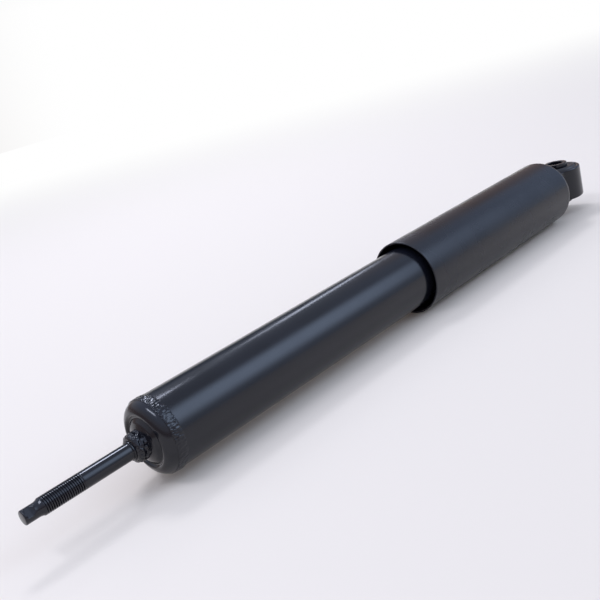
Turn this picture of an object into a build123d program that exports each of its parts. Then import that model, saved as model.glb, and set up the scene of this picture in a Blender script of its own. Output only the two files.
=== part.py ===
"""Twin-tube telescopic shock absorber with an eye at one end and a threaded stem at the other.

Millimetres. The damper lies along X at full extension, with the stem towards -X. The origin is the
centre of the eye's bore, which runs along Z. Pieces are placed along X in the order in which they
stack up: from the eye to the dust cover, the cylinder's top, the piston and the base.
"""

from build123d import *
from math import atan, atan2, cos, hypot, pi, sin, sqrt, tan
import os

os.makedirs("parts", exist_ok=True)

# Fits
running_clearance = 0.06     # radial, between a shaft and the hole that it slides or turns in
disc_gap = 0.02              # between two discs of a stack
stop_gap = 0.3               # between the rebound buffer and the rod guide at full extension

# Travel of the cylinder along the rod
stroke = 200.0
closing_gap = 7.4            # left at full compression between cylinder top and dust cover end
base_clearance = 10.6        # left at full compression between rod tip and base valve
cover_overlap = 36.6         # length of cylinder still covered at full extension

# Eye and its rubber bush
eye_od = 49.6
eye_wall = 4.3
eye_width = 33.4
eye_chamfer = 0.8
sleeve_bore = 16.0
sleeve_wall = 4.0
sleeve_length = 44.0
sleeve_chamfer = 0.8
rubber_face = 36.4           # width of the rubber across its two flat faces
rubber_edge = 1.6            # rounding of the rubber's outer edge
eye_root_gap = 2.2           # filled by the eye's weld
eye_weld_length = 31.0
eye_weld_reach = 21.5        # half width of the weld on the dust cover
eye_weld_grip = 18.4         # half width of the weld on the eye
eye_weld_throat = 17.6       # half width of the weld where it is narrowest

# Dust cover with its drawn end
cover_od = 67.0
cover_wall = 1.6
cover_end_depth = 15.6       # from the straight part to the crown
cover_shoulder_r = 8.6
end_plate_od = 48.0
end_plate_thickness = 4.0
rod_weld_size = 4.5

# Rod
rod_d = 16.0
rod_neck_d = 12.0            # both ends: through the end plate, and through the piston
rod_chamfer = 1.0
rod_end_gap = 0.5            # between the rod's top and the dust cover

# Reserve tube with its rolled lip
tube_od = 55.0
tube_wall = 1.8
lip_radius = 3.2
lip_reach = 5.0              # how far the lip is rolled in from the tube's outside

# Seal and rod guide, stacked under the lip
seal_washer_thickness = 2.5
seal_washer_bore = 24.0
seal_pocket_d = 27.0
seal_pocket_depth = 6.0
seal_flange = 1.6            # thickness of the rubber flange in the pocket
dust_lip = 0.8               # how far the dust lip stands out of the washer
seal_waist = 1.4             # how far the seal stands off the rod between its lips
garter_wire = 1.6
garter_seat_d = 21.2
guide_length = 22.0
guide_land = 9.0
guide_spigot = 10.0
guide_drain_d = 2.4
guide_drains = 4
guide_bush_length = 14.0
guide_bush_wall = 1.0
o_ring_section = 2.3
o_ring_inset = 3.0           # from the guide's top to its groove
o_ring_side_gap = 0.3

# Pressure tube
bore_d = 35.0
bore_wall = 1.5

# Rebound stop and piston, stacked under the guide
buffer_length = 9.0
buffer_od = 28.0
buffer_waist = 1.2
stop_ring_length = 5.0
stop_ring_od = 26.0
stop_groove = 0.8
stop_to_shoulder = 12.0
retainer_thickness = 2.5
retainer_od = 22.0
check_lift_space = 3.0       # from the check plate to its retainer, taken up by the spring
plate_thickness = 0.8
spring_thickness = 0.4
piston_height = 14.0
piston_gap = 0.3             # radial, between piston body and bore
band_width = 9.0
band_thickness = 1.5
band_side_gap = 0.1
band_cut = 1.5
piston_nut_flats = 19.0
piston_nut_height = 8.0
rod_tip = 1.5                # thread left standing out of the nut

# Ports, the same pattern in the piston and in the base valve
hub_d = 14.0
inner_port_circle = 18.0
inner_port_d = 2.6
inner_ports = 6
outer_port_circle = 25.8
outer_port_d = 3.2
outer_ports = 8
plate_od = 30.6
seat_groove_depth = 0.6
seat_groove_width = 3.0
disc_thickness = 0.3
disc_od = 21.6
disc_step = 1.6
discs = 4
backing_washer_thickness = 1.5
backing_washer_od = 15.0

# Base valve
base_head_height = 3.0
base_head_od = 19.0
base_shoulder = 5.0
base_bolt_d = 8.0
base_bolt_tip = 1.4
base_nut_flats = 13.0
base_nut_height = 5.0
base_plate_height = 8.0
base_spigot = 3.0
base_foot_height = 7.0
base_foot_wall = 4.0
base_foot_slots = 6
base_foot_slot_width = 5.0

# Base cup, pressed with a raised boss inside a ring groove
cup_wall = 2.0
cup_flank_depth = 7.5
cup_rim_depth = 11.2
cup_rim_step = 1.0           # from the groove's edge out to the rim
groove_offset = 0.3          # of the groove's middle from the middle of the foot that stands on it
cup_groove_depth = 5.8
cup_groove_width = 1.8
cup_groove_radius = 1.0
cup_flank_radius = 8.6
cup_rim_bend = 0.5           # inner radius of the sheet at the rim
bend_room = 0.95             # share of a straight that a bend may take up
cup_boss_depth = 13.4
cup_boss_d = 18.0
cup_boss_slope_depth = 10.4
cup_boss_slope_d = 27.2
cup_boss_radius = 5.0
base_weld_width = 8.4
base_weld_height = 1.0

# Mounting stem
stem_d = 12.0
stem_weld_height = 22.0      # from the end of the reserve tube to the front of the weld
stem_weld_d = 20.6
stem_weld_face = 1.1         # how far the weld's flat front reaches out from the collar
stem_weld_bulge = 0.8        # of the weld's round edge over its chord
stem_shank = 36.25
stem_thread = 28.05
stem_lead = 3.3
stem_spigot = 9.6
stem_spigot_d = 9.8
stem_spigot_chamfer = 0.8
stem_flats = 7.0
stem_flats_length = 6.4
stem_flats_angle = 135.0
stem_lip = 1.6               # left whole between the tip and the flats
stem_collar_d = 14.0
stem_collar_front = 0.8      # how far the collar stands out of the weld
stem_head_d = 15.0
stem_head_thickness = 2.6

# Radii that many pieces share
eye_r = eye_od / 2
sleeve_r = sleeve_bore / 2 + sleeve_wall
cover_r = cover_od / 2
rod_r = rod_d / 2
neck_r = rod_neck_d / 2
tube_r = tube_od / 2
tube_inner_r = tube_r - tube_wall
bore_r = bore_d / 2
bore_outer_r = bore_r + bore_wall
hub_r = hub_d / 2
stem_r = stem_d / 2
collar_r = stem_collar_d / 2
stem_weld_r = stem_weld_d / 2
sliding_r = rod_r + running_clearance

# Places along X, from the eye to the tip of the stem
crown_x = -(eye_r + eye_root_gap)
cover_end_x = crown_x - cover_end_depth
tube_top_x = cover_end_x - closing_gap - stroke
mouth_x = tube_top_x - cover_overlap
washer_top_x = tube_top_x - tube_wall
guide_top_x = washer_top_x - seal_washer_thickness
guide_bottom_x = guide_top_x - guide_length
bore_top_x = guide_bottom_x + guide_spigot
buffer_top_x = guide_bottom_x - stop_gap
stop_top_x = buffer_top_x - buffer_length
stop_bottom_x = stop_top_x - stop_ring_length
shoulder_x = stop_bottom_x - stop_to_shoulder
retainer_bottom_x = shoulder_x - retainer_thickness
check_top_x = retainer_bottom_x - check_lift_space
piston_top_x = check_top_x - plate_thickness
piston_bottom_x = piston_top_x - piston_height
stack_height = discs * (disc_thickness + disc_gap)
piston_stack_x = piston_bottom_x - stack_height
piston_nut_x = piston_stack_x - backing_washer_thickness
rod_tip_x = piston_nut_x - piston_nut_height - rod_tip
base_top_x = rod_tip_x - stroke - base_clearance
base_head_x = base_top_x - base_head_height
base_body_top_x = base_head_x - base_shoulder
bore_bottom_x = base_body_top_x - base_spigot
base_body_bottom_x = base_body_top_x - base_plate_height
base_stack_x = base_body_bottom_x - stack_height
base_nut_x = base_stack_x - backing_washer_thickness
base_bolt_end_x = base_nut_x - base_nut_height - base_bolt_tip
ridge_x = base_body_bottom_x - base_foot_height
tube_base_x = ridge_x - cup_wall + cup_groove_depth
collar_x = tube_base_x - stem_weld_height - stem_collar_front
boss_x = tube_base_x - cup_boss_depth
stem_weld_x = tube_base_x - stem_weld_height
thread_end_x = collar_x - stem_shank
thread_start_x = thread_end_x - stem_thread
spigot_x = thread_start_x - stem_lead
stem_tip_x = spigot_x - stem_spigot

# The crown of the dust cover is an arc about the axis that runs tangent into the shoulder's arc.
crown_angle = 2 * atan((cover_end_depth - cover_shoulder_r) / (cover_r - cover_shoulder_r))
crown_r = cover_shoulder_r + (cover_r - cover_shoulder_r) / sin(crown_angle)
crown_centre_x = crown_x - crown_r


def crown_height(inset, radius):
    """X of the dust cover's crown at a radius, on the surface that lies inset under the outside."""
    return crown_centre_x + sqrt((crown_r - inset) ** 2 - radius**2)


def on_shoulder(inset, angle):
    """A point of the dust cover's shoulder arc, by the angle of its normal from X."""
    reach = cover_shoulder_r - inset
    return (cover_end_x + reach * cos(angle), cover_r - cover_shoulder_r + reach * sin(angle))


def cover_outline(inset):
    """Half section of the dust cover's form, filled to the axis, moved inwards by inset."""
    quarter = atan(1.0) * 2
    inner_crown_r = crown_r - inset
    half_crown = (
        crown_centre_x + inner_crown_r * cos(crown_angle / 2),
        inner_crown_r * sin(crown_angle / 2),
    )
    with BuildSketch(Plane.XY) as outline:
        with BuildLine():
            Line((mouth_x, 0), (mouth_x, cover_r - inset))
            Line((mouth_x, cover_r - inset), on_shoulder(inset, quarter))
            ThreePointArc(
                on_shoulder(inset, quarter),
                on_shoulder(inset, (quarter + crown_angle) / 2),
                on_shoulder(inset, crown_angle),
            )
            ThreePointArc(on_shoulder(inset, crown_angle), half_crown, (crown_x - inset, 0))
            Line((crown_x - inset, 0), (mouth_x, 0))
        make_face()
    return outline.sketch


# The ring groove's floor is the ridge that the base valve's foot stands on.
foot_inner_r = bore_outer_r - base_foot_wall
groove_outer_r = (foot_inner_r + bore_outer_r + cup_groove_width) / 2 + groove_offset
groove_inner_r = groove_outer_r - cup_groove_width
rim_r = groove_outer_r + cup_rim_step

# The slope between flank and rim holds both of their bends, and the flank's gives way to the rim's.
rim_bend_r = cup_wall + cup_rim_bend
slope_depth = cup_rim_depth - cup_flank_depth
slope_turn = atan2(tube_r - rim_r, slope_depth)
rim_turn = pi - slope_turn - atan2(cup_rim_step, cup_rim_depth - cup_groove_depth)
slope_room = hypot(slope_depth, tube_r - rim_r) - rim_bend_r * tan(rim_turn / 2)
flank_room = bend_room * min(slope_room, cup_flank_depth)
flank_bend_r = min(cup_flank_radius, flank_room / tan(slope_turn / 2))


def cup_outline():
    """Half section of the base cup's outside, filled to the axis."""
    with BuildSketch(Plane.XY) as outline:
        with BuildLine():
            FilletPolyline(
                (tube_base_x, tube_r),
                (tube_base_x - cup_flank_depth, tube_r),
                (tube_base_x - cup_rim_depth, rim_r),
                (tube_base_x - cup_groove_depth, groove_outer_r),
                (tube_base_x - cup_groove_depth, groove_inner_r),
                (tube_base_x - cup_boss_slope_depth, cup_boss_slope_d / 2),
                (boss_x, cup_boss_d / 2),
                (boss_x, 0),
                radius=[
                    flank_bend_r,
                    rim_bend_r,
                    cup_groove_radius,
                    cup_groove_radius,
                    cup_boss_radius,
                    cup_boss_radius,
                ],
            )
            Line((boss_x, 0), (tube_base_x, 0))
            Line((tube_base_x, 0), (tube_base_x, tube_r))
        make_face()
    return outline.sketch


def turned(*points):
    """Half section through the given points along X and out from the axis."""
    with BuildSketch(Plane.XY) as outline:
        with BuildLine():
            Polyline(*points, close=True)
        make_face()
    return outline.sketch


# Eye ring
with BuildPart() as eye_ring:
    with BuildSketch(Plane.XY.offset(-eye_width / 2)):
        Circle(eye_r)
        Circle(eye_r - eye_wall, mode=Mode.SUBTRACT)
    extrude(amount=eye_width)
    chamfer(eye_ring.edges().filter_by(GeomType.CIRCLE), eye_chamfer)
eye_ring.part.label = "eye_ring"
export_step(eye_ring.part, "parts/eye_ring.step")

# Rubber bush, which bulges a little out of the eye
rubber_inner_r = sleeve_r + running_clearance
rubber_outer_r = eye_r - eye_wall
rubber_seat = eye_width / 2 - eye_chamfer
with BuildPart() as bush_rubber:
    with BuildSketch(Plane.XZ):
        with BuildLine():
            half = rubber_face / 2
            lip = rubber_outer_r - rubber_edge
            Line((rubber_inner_r, -half), (lip, -half))
            Line((lip, -half), (rubber_outer_r, -rubber_seat))
            Line((rubber_outer_r, -rubber_seat), (rubber_outer_r, rubber_seat))
            Line((rubber_outer_r, rubber_seat), (lip, half))
            Line((lip, half), (rubber_inner_r, half))
            Line((rubber_inner_r, half), (rubber_inner_r, -half))
        make_face()
    revolve(axis=Axis.Z)
    outer_edges = bush_rubber.edges().filter_by(GeomType.CIRCLE).group_by(SortBy.RADIUS)[1]
    fillet(outer_edges, rubber_edge / 2)
bush_rubber.part.label = "bush_rubber"
export_step(bush_rubber.part, "parts/bush_rubber.step")

# Steel sleeve that the mounting bolt clamps
with BuildPart() as bush_sleeve:
    with BuildSketch(Plane.XY.offset(-sleeve_length / 2)):
        Circle(sleeve_r)
        Circle(sleeve_bore / 2, mode=Mode.SUBTRACT)
    extrude(amount=sleeve_length)
    chamfer(bush_sleeve.edges().filter_by(GeomType.CIRCLE), sleeve_chamfer)
bush_sleeve.part.label = "bush_sleeve"
export_step(bush_sleeve.part, "parts/bush_sleeve.step")

# Weld between eye and dust cover: a saddle with a hollow bead along each side
grip_x = -sqrt(eye_r**2 - eye_weld_grip**2)
reach_x = crown_height(0, eye_weld_reach)
throat_x = (grip_x + reach_x) / 2
with BuildPart() as eye_weld:
    with BuildSketch(Plane.XY.offset(-eye_weld_length / 2)):
        with BuildLine():
            ThreePointArc(
                (grip_x, eye_weld_grip), (throat_x, eye_weld_throat), (reach_x, eye_weld_reach)
            )
            Line((reach_x, eye_weld_reach), (cover_end_x, eye_weld_reach))
            Line((cover_end_x, eye_weld_reach), (cover_end_x, -eye_weld_reach))
            Line((cover_end_x, -eye_weld_reach), (reach_x, -eye_weld_reach))
            ThreePointArc(
                (reach_x, -eye_weld_reach), (throat_x, -eye_weld_throat), (grip_x, -eye_weld_grip)
            )
            Line((grip_x, -eye_weld_grip), (grip_x, eye_weld_grip))
        make_face()
        Circle(eye_r, mode=Mode.SUBTRACT)
    extrude(amount=eye_weld_length)
    add(cover_outline(0))
    revolve(axis=Axis.X, mode=Mode.SUBTRACT)
eye_weld.part.label = "eye_weld"
export_step(eye_weld.part, "parts/eye_weld.step")

# Dust cover, drawn from one piece
with BuildPart() as dust_cover:
    add(cover_outline(0))
    revolve(axis=Axis.X)
    add(cover_outline(cover_wall))
    revolve(axis=Axis.X, mode=Mode.SUBTRACT)
dust_cover.part.label = "dust_cover"
export_step(dust_cover.part, "parts/dust_cover.step")

# End plate, nested in the dust cover's crown, which carries the rod
plate_inset = cover_wall + end_plate_thickness
with BuildPart() as end_plate:
    add(cover_outline(cover_wall))
    revolve(axis=Axis.X)
    add(cover_outline(plate_inset))
    revolve(axis=Axis.X, mode=Mode.SUBTRACT)
    with BuildSketch(Plane.YZ.offset(cover_end_x)):
        Circle(end_plate_od / 2)
        Circle(neck_r, mode=Mode.SUBTRACT)
    extrude(amount=cover_end_depth, mode=Mode.INTERSECT)
end_plate.part.label = "end_plate"
export_step(end_plate.part, "parts/end_plate.step")

# Piston rod, with a neck at each end and a groove for the rebound stop
rod_top_x = crown_height(cover_wall, neck_r) - rod_end_gap
rod_seat_x = crown_height(plate_inset, rod_r)
with BuildPart() as piston_rod:
    add(
        turned(
            (rod_top_x, 0),
            (rod_top_x, neck_r),
            (rod_seat_x, neck_r),
            (rod_seat_x, rod_r),
            (stop_top_x, rod_r),
            (stop_top_x, rod_r - stop_groove),
            (stop_bottom_x, rod_r - stop_groove),
            (stop_bottom_x, rod_r),
            (shoulder_x, rod_r),
            (shoulder_x, neck_r),
            (rod_tip_x + rod_chamfer, neck_r),
            (rod_tip_x, neck_r - rod_chamfer),
            (rod_tip_x, 0),
        )
    )
    revolve(axis=Axis.X)
piston_rod.part.label = "piston_rod"
export_step(piston_rod.part, "parts/piston_rod.step")

# Fillet weld between rod and end plate
with BuildPart() as rod_weld:
    with BuildSketch(Plane.XY):
        with BuildLine():
            Polyline(
                (rod_seat_x - rod_weld_size, rod_r),
                (crown_x, rod_r),
                (crown_x, rod_r + rod_weld_size),
                (rod_seat_x - disc_gap, rod_r + rod_weld_size),
                close=True,
            )
        make_face()
        add(cover_outline(plate_inset), mode=Mode.INTERSECT)
    revolve(axis=Axis.X)
rod_weld.part.label = "rod_weld"
export_step(rod_weld.part, "parts/rod_weld.step")

# Rebound buffer, a waisted rubber ring on the rod
with BuildPart() as rebound_buffer:
    with BuildSketch(Plane.XY):
        with BuildLine():
            Line((buffer_top_x, rod_r), (buffer_top_x, buffer_od / 2))
            ThreePointArc(
                (buffer_top_x, buffer_od / 2),
                (buffer_top_x - buffer_length / 2, buffer_od / 2 - buffer_waist),
                (stop_top_x, buffer_od / 2),
            )
            Line((stop_top_x, buffer_od / 2), (stop_top_x, rod_r))
            Line((stop_top_x, rod_r), (buffer_top_x, rod_r))
        make_face()
    revolve(axis=Axis.X)
rebound_buffer.part.label = "rebound_buffer"
export_step(rebound_buffer.part, "parts/rebound_buffer.step")

# Rebound stop, a steel ring swaged into the rod's groove
with BuildPart() as rebound_stop:
    with BuildSketch(Plane.YZ.offset(stop_bottom_x)):
        Circle(stop_ring_od / 2)
        Circle(rod_r - stop_groove, mode=Mode.SUBTRACT)
    extrude(amount=stop_ring_length)
    rims = rebound_stop.edges().filter_by(GeomType.CIRCLE).group_by(SortBy.RADIUS)[-1]
    chamfer(rims, rod_chamfer)
rebound_stop.part.label = "rebound_stop"
export_step(rebound_stop.part, "parts/rebound_stop.step")

# Retainer of the piston's check spring, under the rod's shoulder
with BuildPart() as check_retainer:
    with BuildSketch(Plane.YZ.offset(retainer_bottom_x)):
        Circle(retainer_od / 2)
        Circle(neck_r, mode=Mode.SUBTRACT)
    extrude(amount=retainer_thickness)
check_retainer.part.label = "check_retainer"
export_step(check_retainer.part, "parts/check_retainer.step")

# Cone springs that hold the two check plates down
spring_inner_r = hub_r + spring_thickness
spring_outer_r = inner_port_circle / 2 + inner_port_d / 2 + spring_thickness
with BuildPart() as check_spring:
    add(
        turned(
            (retainer_bottom_x, spring_inner_r),
            (retainer_bottom_x, spring_inner_r + spring_thickness),
            (check_top_x, spring_outer_r + spring_thickness),
            (check_top_x, spring_outer_r),
        )
    )
    revolve(axis=Axis.X)
check_spring.part.label = "check_spring"
export_step(check_spring.part, "parts/check_spring.step")

with BuildPart() as intake_spring:
    add(
        turned(
            (base_head_x, spring_inner_r),
            (base_head_x, spring_inner_r + spring_thickness),
            (base_body_top_x + plate_thickness, spring_outer_r + spring_thickness),
            (base_body_top_x + plate_thickness, spring_outer_r),
        )
    )
    revolve(axis=Axis.X)
intake_spring.part.label = "intake_spring"
export_step(intake_spring.part, "parts/intake_spring.step")

# Check plates: one on the piston, one on the base valve
with BuildPart() as check_plate:
    with BuildSketch(Plane.YZ.offset(piston_top_x)):
        Circle(plate_od / 2)
        Circle(hub_r + running_clearance, mode=Mode.SUBTRACT)
        with PolarLocations(inner_port_circle / 2, inner_ports):
            Circle(inner_port_d / 2, mode=Mode.SUBTRACT)
    extrude(amount=plate_thickness)
check_plate.part.label = "check_plate"
export_step(check_plate.part, "parts/check_plate.step")

with BuildPart() as intake_plate:
    with BuildSketch(Plane.YZ.offset(base_body_top_x)):
        Circle(plate_od / 2)
        Circle(hub_r + running_clearance, mode=Mode.SUBTRACT)
        with PolarLocations(inner_port_circle / 2, inner_ports):
            Circle(inner_port_d / 2, mode=Mode.SUBTRACT)
    extrude(amount=plate_thickness)
intake_plate.part.label = "intake_plate"
export_step(intake_plate.part, "parts/intake_plate.step")

# Piston: ports, hub for the check plate, groove for the band and seat groove for the discs
band_r = bore_r - running_clearance
band_inner_r = band_r - band_thickness
band_top_x = piston_top_x - (piston_height - band_width) / 2
band_bottom_x = band_top_x - band_width
piston_r = bore_r - piston_gap
with BuildPart() as piston:
    add(
        turned(
            (retainer_bottom_x, neck_r),
            (retainer_bottom_x, hub_r),
            (piston_top_x, hub_r),
            (piston_top_x, piston_r - piston_gap),
            (piston_top_x - piston_gap, piston_r),
            (band_top_x + band_side_gap, piston_r),
            (band_top_x + band_side_gap, band_inner_r - running_clearance),
            (band_bottom_x - band_side_gap, band_inner_r - running_clearance),
            (band_bottom_x - band_side_gap, piston_r),
            (piston_bottom_x + piston_gap, piston_r),
            (piston_bottom_x, piston_r - piston_gap),
            (piston_bottom_x, neck_r),
        )
    )
    revolve(axis=Axis.X)
    with BuildSketch(Plane.YZ.offset(piston_bottom_x)):
        with PolarLocations(inner_port_circle / 2, inner_ports):
            Circle(inner_port_d / 2)
        with PolarLocations(outer_port_circle / 2, outer_ports):
            Circle(outer_port_d / 2)
    extrude(amount=piston_height, mode=Mode.SUBTRACT)
    with BuildSketch(Plane.YZ.offset(piston_bottom_x)):
        Circle((inner_port_circle + seat_groove_width) / 2)
        Circle((inner_port_circle - seat_groove_width) / 2, mode=Mode.SUBTRACT)
    extrude(amount=seat_groove_depth, mode=Mode.SUBTRACT)
piston.part.label = "piston"
export_step(piston.part, "parts/piston.step")

# Split band round the piston
with BuildPart() as piston_band:
    with BuildSketch(Plane.YZ.offset(band_bottom_x)):
        Circle(band_r)
        Circle(band_inner_r, mode=Mode.SUBTRACT)
        with Locations((0, band_r)):
            Rectangle(band_cut, bore_d - band_inner_r, mode=Mode.SUBTRACT)
    extrude(amount=band_width)
piston_band.part.label = "piston_band"
export_step(piston_band.part, "parts/piston_band.step")

# Stacks of spring discs: under the piston for rebound, under the base valve for compression
with BuildPart() as rebound_discs:
    for index in range(discs):
        level = piston_bottom_x - (index + 1) * (disc_thickness + disc_gap)
        with BuildSketch(Plane.YZ.offset(level)):
            Circle((disc_od - index * disc_step) / 2)
            Circle(neck_r, mode=Mode.SUBTRACT)
        extrude(amount=disc_thickness)
rebound_discs.part.label = "rebound_discs"
export_step(rebound_discs.part, "parts/rebound_discs.step")

with BuildPart() as compression_discs:
    for index in range(discs):
        level = base_body_bottom_x - (index + 1) * (disc_thickness + disc_gap)
        with BuildSketch(Plane.YZ.offset(level)):
            Circle((disc_od - index * disc_step) / 2)
            Circle(base_bolt_d / 2, mode=Mode.SUBTRACT)
        extrude(amount=disc_thickness)
compression_discs.part.label = "compression_discs"
export_step(compression_discs.part, "parts/compression_discs.step")

# Backing washers and nuts that clamp the two stacks
with BuildPart() as rebound_washer:
    with BuildSketch(Plane.YZ.offset(piston_nut_x)):
        Circle(backing_washer_od / 2)
        Circle(neck_r, mode=Mode.SUBTRACT)
    extrude(amount=backing_washer_thickness)
rebound_washer.part.label = "rebound_washer"
export_step(rebound_washer.part, "parts/rebound_washer.step")

with BuildPart() as compression_washer:
    with BuildSketch(Plane.YZ.offset(base_nut_x)):
        Circle(backing_washer_od / 2)
        Circle(base_bolt_d / 2, mode=Mode.SUBTRACT)
    extrude(amount=backing_washer_thickness)
compression_washer.part.label = "compression_washer"
export_step(compression_washer.part, "parts/compression_washer.step")

with BuildPart() as piston_nut:
    with BuildSketch(Plane.YZ.offset(piston_nut_x - piston_nut_height)):
        RegularPolygon(piston_nut_flats / 2, 6, major_radius=False)
        Circle(neck_r, mode=Mode.SUBTRACT)
    extrude(amount=piston_nut_height)
piston_nut.part.label = "piston_nut"
export_step(piston_nut.part, "parts/piston_nut.step")

with BuildPart() as base_valve_nut:
    with BuildSketch(Plane.YZ.offset(base_nut_x - base_nut_height)):
        RegularPolygon(base_nut_flats / 2, 6, major_radius=False)
        Circle(base_bolt_d / 2, mode=Mode.SUBTRACT)
    extrude(amount=base_nut_height)
base_valve_nut.part.label = "base_valve_nut"
export_step(base_valve_nut.part, "parts/base_valve_nut.step")

# Shouldered bolt of the base valve: its head holds the intake spring
with BuildPart() as base_valve_bolt:
    add(
        turned(
            (base_top_x, 0),
            (base_top_x, base_head_od / 2 - rod_chamfer),
            (base_top_x - rod_chamfer, base_head_od / 2),
            (base_head_x, base_head_od / 2),
            (base_head_x, hub_r),
            (base_body_top_x, hub_r),
            (base_body_top_x, base_bolt_d / 2),
            (base_bolt_end_x, base_bolt_d / 2),
            (base_bolt_end_x, 0),
        )
    )
    revolve(axis=Axis.X)
base_valve_bolt.part.label = "base_valve_bolt"
export_step(base_valve_bolt.part, "parts/base_valve_bolt.step")

# Base valve body: a ported plate on a slotted foot that stands on the base cup's ridge
with BuildPart() as base_valve_body:
    add(
        turned(
            (base_body_top_x, base_bolt_d / 2),
            (base_body_top_x, bore_r),
            (bore_bottom_x, bore_r),
            (bore_bottom_x, bore_outer_r),
            (ridge_x, bore_outer_r),
            (ridge_x, foot_inner_r),
            (base_body_bottom_x, foot_inner_r),
            (base_body_bottom_x, base_bolt_d / 2),
        )
    )
    revolve(axis=Axis.X)
    with BuildSketch(Plane.YZ.offset(base_body_bottom_x)):
        with PolarLocations(inner_port_circle / 2, inner_ports):
            Circle(inner_port_d / 2)
        with PolarLocations(outer_port_circle / 2, outer_ports):
            Circle(outer_port_d / 2)
    extrude(amount=base_plate_height, mode=Mode.SUBTRACT)
    with BuildSketch(Plane.YZ.offset(base_body_bottom_x)):
        Circle((inner_port_circle + seat_groove_width) / 2)
        Circle((inner_port_circle - seat_groove_width) / 2, mode=Mode.SUBTRACT)
    extrude(amount=seat_groove_depth, mode=Mode.SUBTRACT)
    with BuildSketch(Plane.YZ.offset(ridge_x)):
        with PolarLocations((foot_inner_r + bore_outer_r) / 2, base_foot_slots):
            Rectangle(2 * base_foot_wall, base_foot_slot_width)
    extrude(amount=base_foot_height / 2, mode=Mode.SUBTRACT)
base_valve_body.part.label = "base_valve_body"
export_step(base_valve_body.part, "parts/base_valve_body.step")

# Pressure tube between base valve and rod guide
with BuildPart() as pressure_tube:
    with BuildSketch(Plane.YZ.offset(bore_bottom_x)):
        Circle(bore_outer_r)
        Circle(bore_r, mode=Mode.SUBTRACT)
    extrude(amount=bore_top_x - bore_bottom_x)
pressure_tube.part.label = "pressure_tube"
export_step(pressure_tube.part, "parts/pressure_tube.step")

# Rod guide: land with a ring groove, taper, shoulder for the pressure tube, spigot, bush seat
groove_top_x = guide_top_x - o_ring_inset
groove_bottom_x = groove_top_x - o_ring_section - 2 * o_ring_side_gap
guide_bush_r = rod_r + guide_bush_wall
pocket_floor_x = guide_top_x - seal_pocket_depth
with BuildPart() as rod_guide:
    add(
        turned(
            (guide_top_x, seal_pocket_d / 2),
            (guide_top_x, tube_inner_r),
            (groove_top_x, tube_inner_r),
            (groove_top_x, tube_inner_r - o_ring_section),
            (groove_bottom_x, tube_inner_r - o_ring_section),
            (groove_bottom_x, tube_inner_r),
            (guide_top_x - guide_land, tube_inner_r),
            (bore_top_x, bore_outer_r),
            (bore_top_x, bore_r),
            (guide_bottom_x, bore_r),
            (guide_bottom_x, guide_bush_r),
            (guide_bottom_x + guide_bush_length, guide_bush_r),
            (guide_bottom_x + guide_bush_length, rod_r + stop_gap),
            (pocket_floor_x, rod_r + stop_gap),
            (pocket_floor_x, seal_pocket_d / 2),
        )
    )
    revolve(axis=Axis.X)
    drain_start = (pocket_floor_x + guide_drain_d / 2, 0, 0)
    drain_lean = (bore_top_x - pocket_floor_x) / bore_outer_r
    for index in range(guide_drains):
        turn = index * 360 / guide_drains
        lean = Vector(drain_lean, 1, 0).rotate(Axis.X, turn)
        start = Vector(0, seal_pocket_d / 4, 0).rotate(Axis.X, turn) + Vector(*drain_start)
        with BuildSketch(Plane(origin=start, z_dir=lean)):
            Circle(guide_drain_d / 2)
        extrude(amount=tube_inner_r, mode=Mode.SUBTRACT)
rod_guide.part.label = "rod_guide"
export_step(rod_guide.part, "parts/rod_guide.step")

# Plain bush in the rod guide
with BuildPart() as guide_bush:
    with BuildSketch(Plane.YZ.offset(guide_bottom_x)):
        Circle(guide_bush_r)
        Circle(sliding_r, mode=Mode.SUBTRACT)
    extrude(amount=guide_bush_length)
guide_bush.part.label = "guide_bush"
export_step(guide_bush.part, "parts/guide_bush.step")

# Static ring between rod guide and reserve tube
with BuildPart() as guide_o_ring:
    with BuildSketch(Plane.XY):
        with Locations(((groove_top_x + groove_bottom_x) / 2, tube_inner_r - o_ring_section / 2)):
            Circle(o_ring_section / 2)
    revolve(axis=Axis.X)
guide_o_ring.part.label = "guide_o_ring"
export_step(guide_o_ring.part, "parts/guide_o_ring.step")

# Steel washer that the rolled lip clamps on the guide
with BuildPart() as seal_washer:
    with BuildSketch(Plane.YZ.offset(guide_top_x)):
        Circle(tube_inner_r)
        Circle(seal_washer_bore / 2, mode=Mode.SUBTRACT)
    extrude(amount=seal_washer_thickness)
    top_rim = seal_washer.faces().sort_by(Axis.X)[-1].edges().sort_by(SortBy.RADIUS)[-1]
    chamfer(top_rim, lip_radius - tube_wall)
seal_washer.part.label = "seal_washer"
export_step(seal_washer.part, "parts/seal_washer.step")

# Rod seal: dust lip above the washer, flange under it, sealing lip with a spring seat
flange_x = guide_top_x - seal_flange
seat_end_x = flange_x - garter_wire - 2 * o_ring_side_gap
lip_end_x = seat_end_x - seal_flange / 2
garter_seat_r = garter_seat_d / 2
with BuildPart() as rod_seal:
    add(
        turned(
            (washer_top_x + dust_lip, sliding_r),
            (washer_top_x + dust_lip, sliding_r + seal_waist),
            (washer_top_x, seal_washer_bore / 2),
            (guide_top_x, seal_washer_bore / 2),
            (guide_top_x, seal_pocket_d / 2),
            (flange_x, seal_pocket_d / 2),
            (flange_x, garter_seat_r),
            (seat_end_x, garter_seat_r),
            (seat_end_x, garter_seat_r + garter_wire / 3),
            (lip_end_x, garter_seat_r - garter_wire / 3),
            (seat_end_x, sliding_r),
            (seat_end_x + seal_waist / 2, sliding_r),
            (flange_x + seal_waist / 2, sliding_r + seal_waist),
            (washer_top_x - seal_waist / 2, sliding_r + seal_waist),
            (washer_top_x + dust_lip / 2, sliding_r),
        )
    )
    revolve(axis=Axis.X)
rod_seal.part.label = "rod_seal"
export_step(rod_seal.part, "parts/rod_seal.step")

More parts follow.
